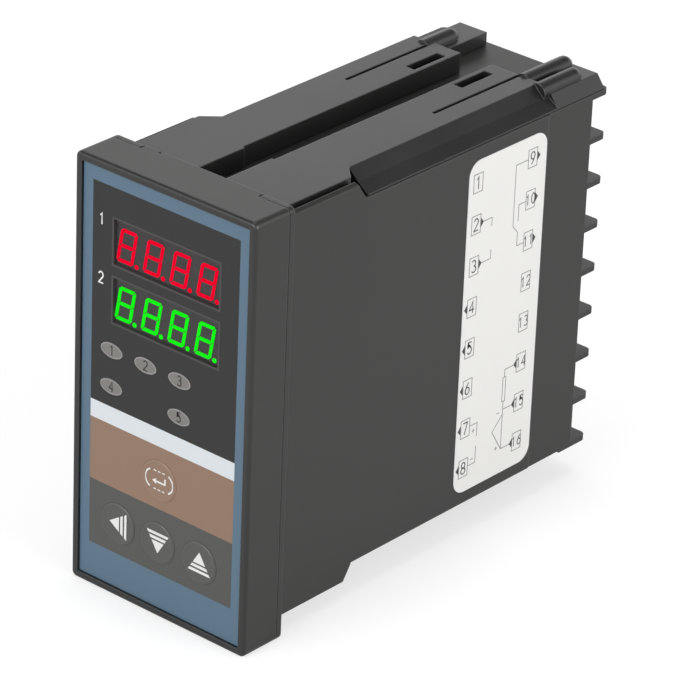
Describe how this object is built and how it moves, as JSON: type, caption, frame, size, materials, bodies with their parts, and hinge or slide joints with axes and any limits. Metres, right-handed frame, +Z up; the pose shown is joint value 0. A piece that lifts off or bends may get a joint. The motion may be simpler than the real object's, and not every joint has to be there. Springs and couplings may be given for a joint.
{
  "type": "pid temperature controller",
  "caption": "Upright panel-mounted temperature controller with numeric displays, indicator lenses and keys in a flanged face, a long draw-out case, a sliding bracket and finned rear terminals.",
  "frame": {"origin": "middle of the flange's rear face, which seats on the panel", "axes": "+Y from the face back through the panel, +Z up, +X across the face"},
  "size_m": [0.048, 0.1106, 0.096],
  "materials": {
    "case_plastic": "fine matt grain",
    "bezel_plastic": "fine matt grain",
    "bracket_plastic": "satin",
    "block_plastic": "fine matt grain",
    "label_card": "satin printed card",
    "face_film": "satin printed film",
    "window_tint": "smoked clear",
    "lens_plastic": "frosted",
    "key_film": "satin",
    "red_glow": "lit",
    "green_glow": "lit",
    "module_plastic": "dark moulded",
    "board_laminate": "solder mask over glass laminate",
    "steel": "zinc plated",
    "contact_metal": "plated",
    "core_steel": "laminated, varnished",
    "coil_wrap": "wound and taped",
    "part_black": "moulded",
    "relay_blue": "moulded",
    "can_metal": "sleeved can",
    "lamp_clear": "clear tinted"
  },
  "bodies": {
    "case": {"case_shell": "case_plastic", "terminal_block": "block_plastic", "terminal_contacts": "contact_metal", "clamp_washers": "steel", "terminal_screws": "steel", "side_label": "label_card"},
    "chassis": {"front_bezel": "bezel_plastic", "front_overlay": "face_film", "upper_window": "window_tint", "lower_window": "window_tint", "indicator_lenses": "lens_plastic", "upper_display": "module_plastic", "upper_segments": "red_glow", "lower_display": "module_plastic", "lower_segments": "green_glow", "indicator_leds": "lamp_clear", "display_board": "board_laminate", "board_screws": "steel", "tact_switches": "part_black", "power_board": "board_laminate", "control_board": "board_laminate", "rear_sockets": "part_black", "board_headers": "part_black", "transformer_core": "core_steel", "transformer_coil": "coil_wrap", "transformer_base": "part_black", "relays": "relay_blue", "capacitors": "can_metal", "logic_chips": "part_black"},
    "set_key": {"set_key": "key_film"},
    "shift_key": {"shift_key": "key_film"},
    "down_key": {"down_key": "key_film"},
    "up_key": {"up_key": "key_film"},
    "bracket": {"mounting_bracket": "bracket_plastic"}
  },
  "joints": [
    {"name": "chassis_draw", "type": "slide", "parent": "case", "child": "chassis", "axis": [0, -1, 0], "range_m": [0, 0.085]},
    {"name": "bracket_slide", "type": "slide", "parent": "case", "child": "bracket", "axis": [0, 1, 0], "range_m": [0, 0.02]},
    {"name": "set_key_press", "type": "slide", "parent": "chassis", "child": "set_key", "axis": [0, 1, 0], "range_m": [0, 0.0003], "stiffness_N_per_m": 3000},
    {"name": "shift_key_press", "type": "slide", "parent": "chassis", "child": "shift_key", "axis": [0, 1, 0], "range_m": [0, 0.0003], "stiffness_N_per_m": 3000},
    {"name": "down_key_press", "type": "slide", "parent": "chassis", "child": "down_key", "axis": [0, 1, 0], "range_m": [0, 0.0003], "stiffness_N_per_m": 3000},
    {"name": "up_key_press", "type": "slide", "parent": "chassis", "child": "up_key", "axis": [0, 1, 0], "range_m": [0, 0.0003], "stiffness_N_per_m": 3000}
  ]
}
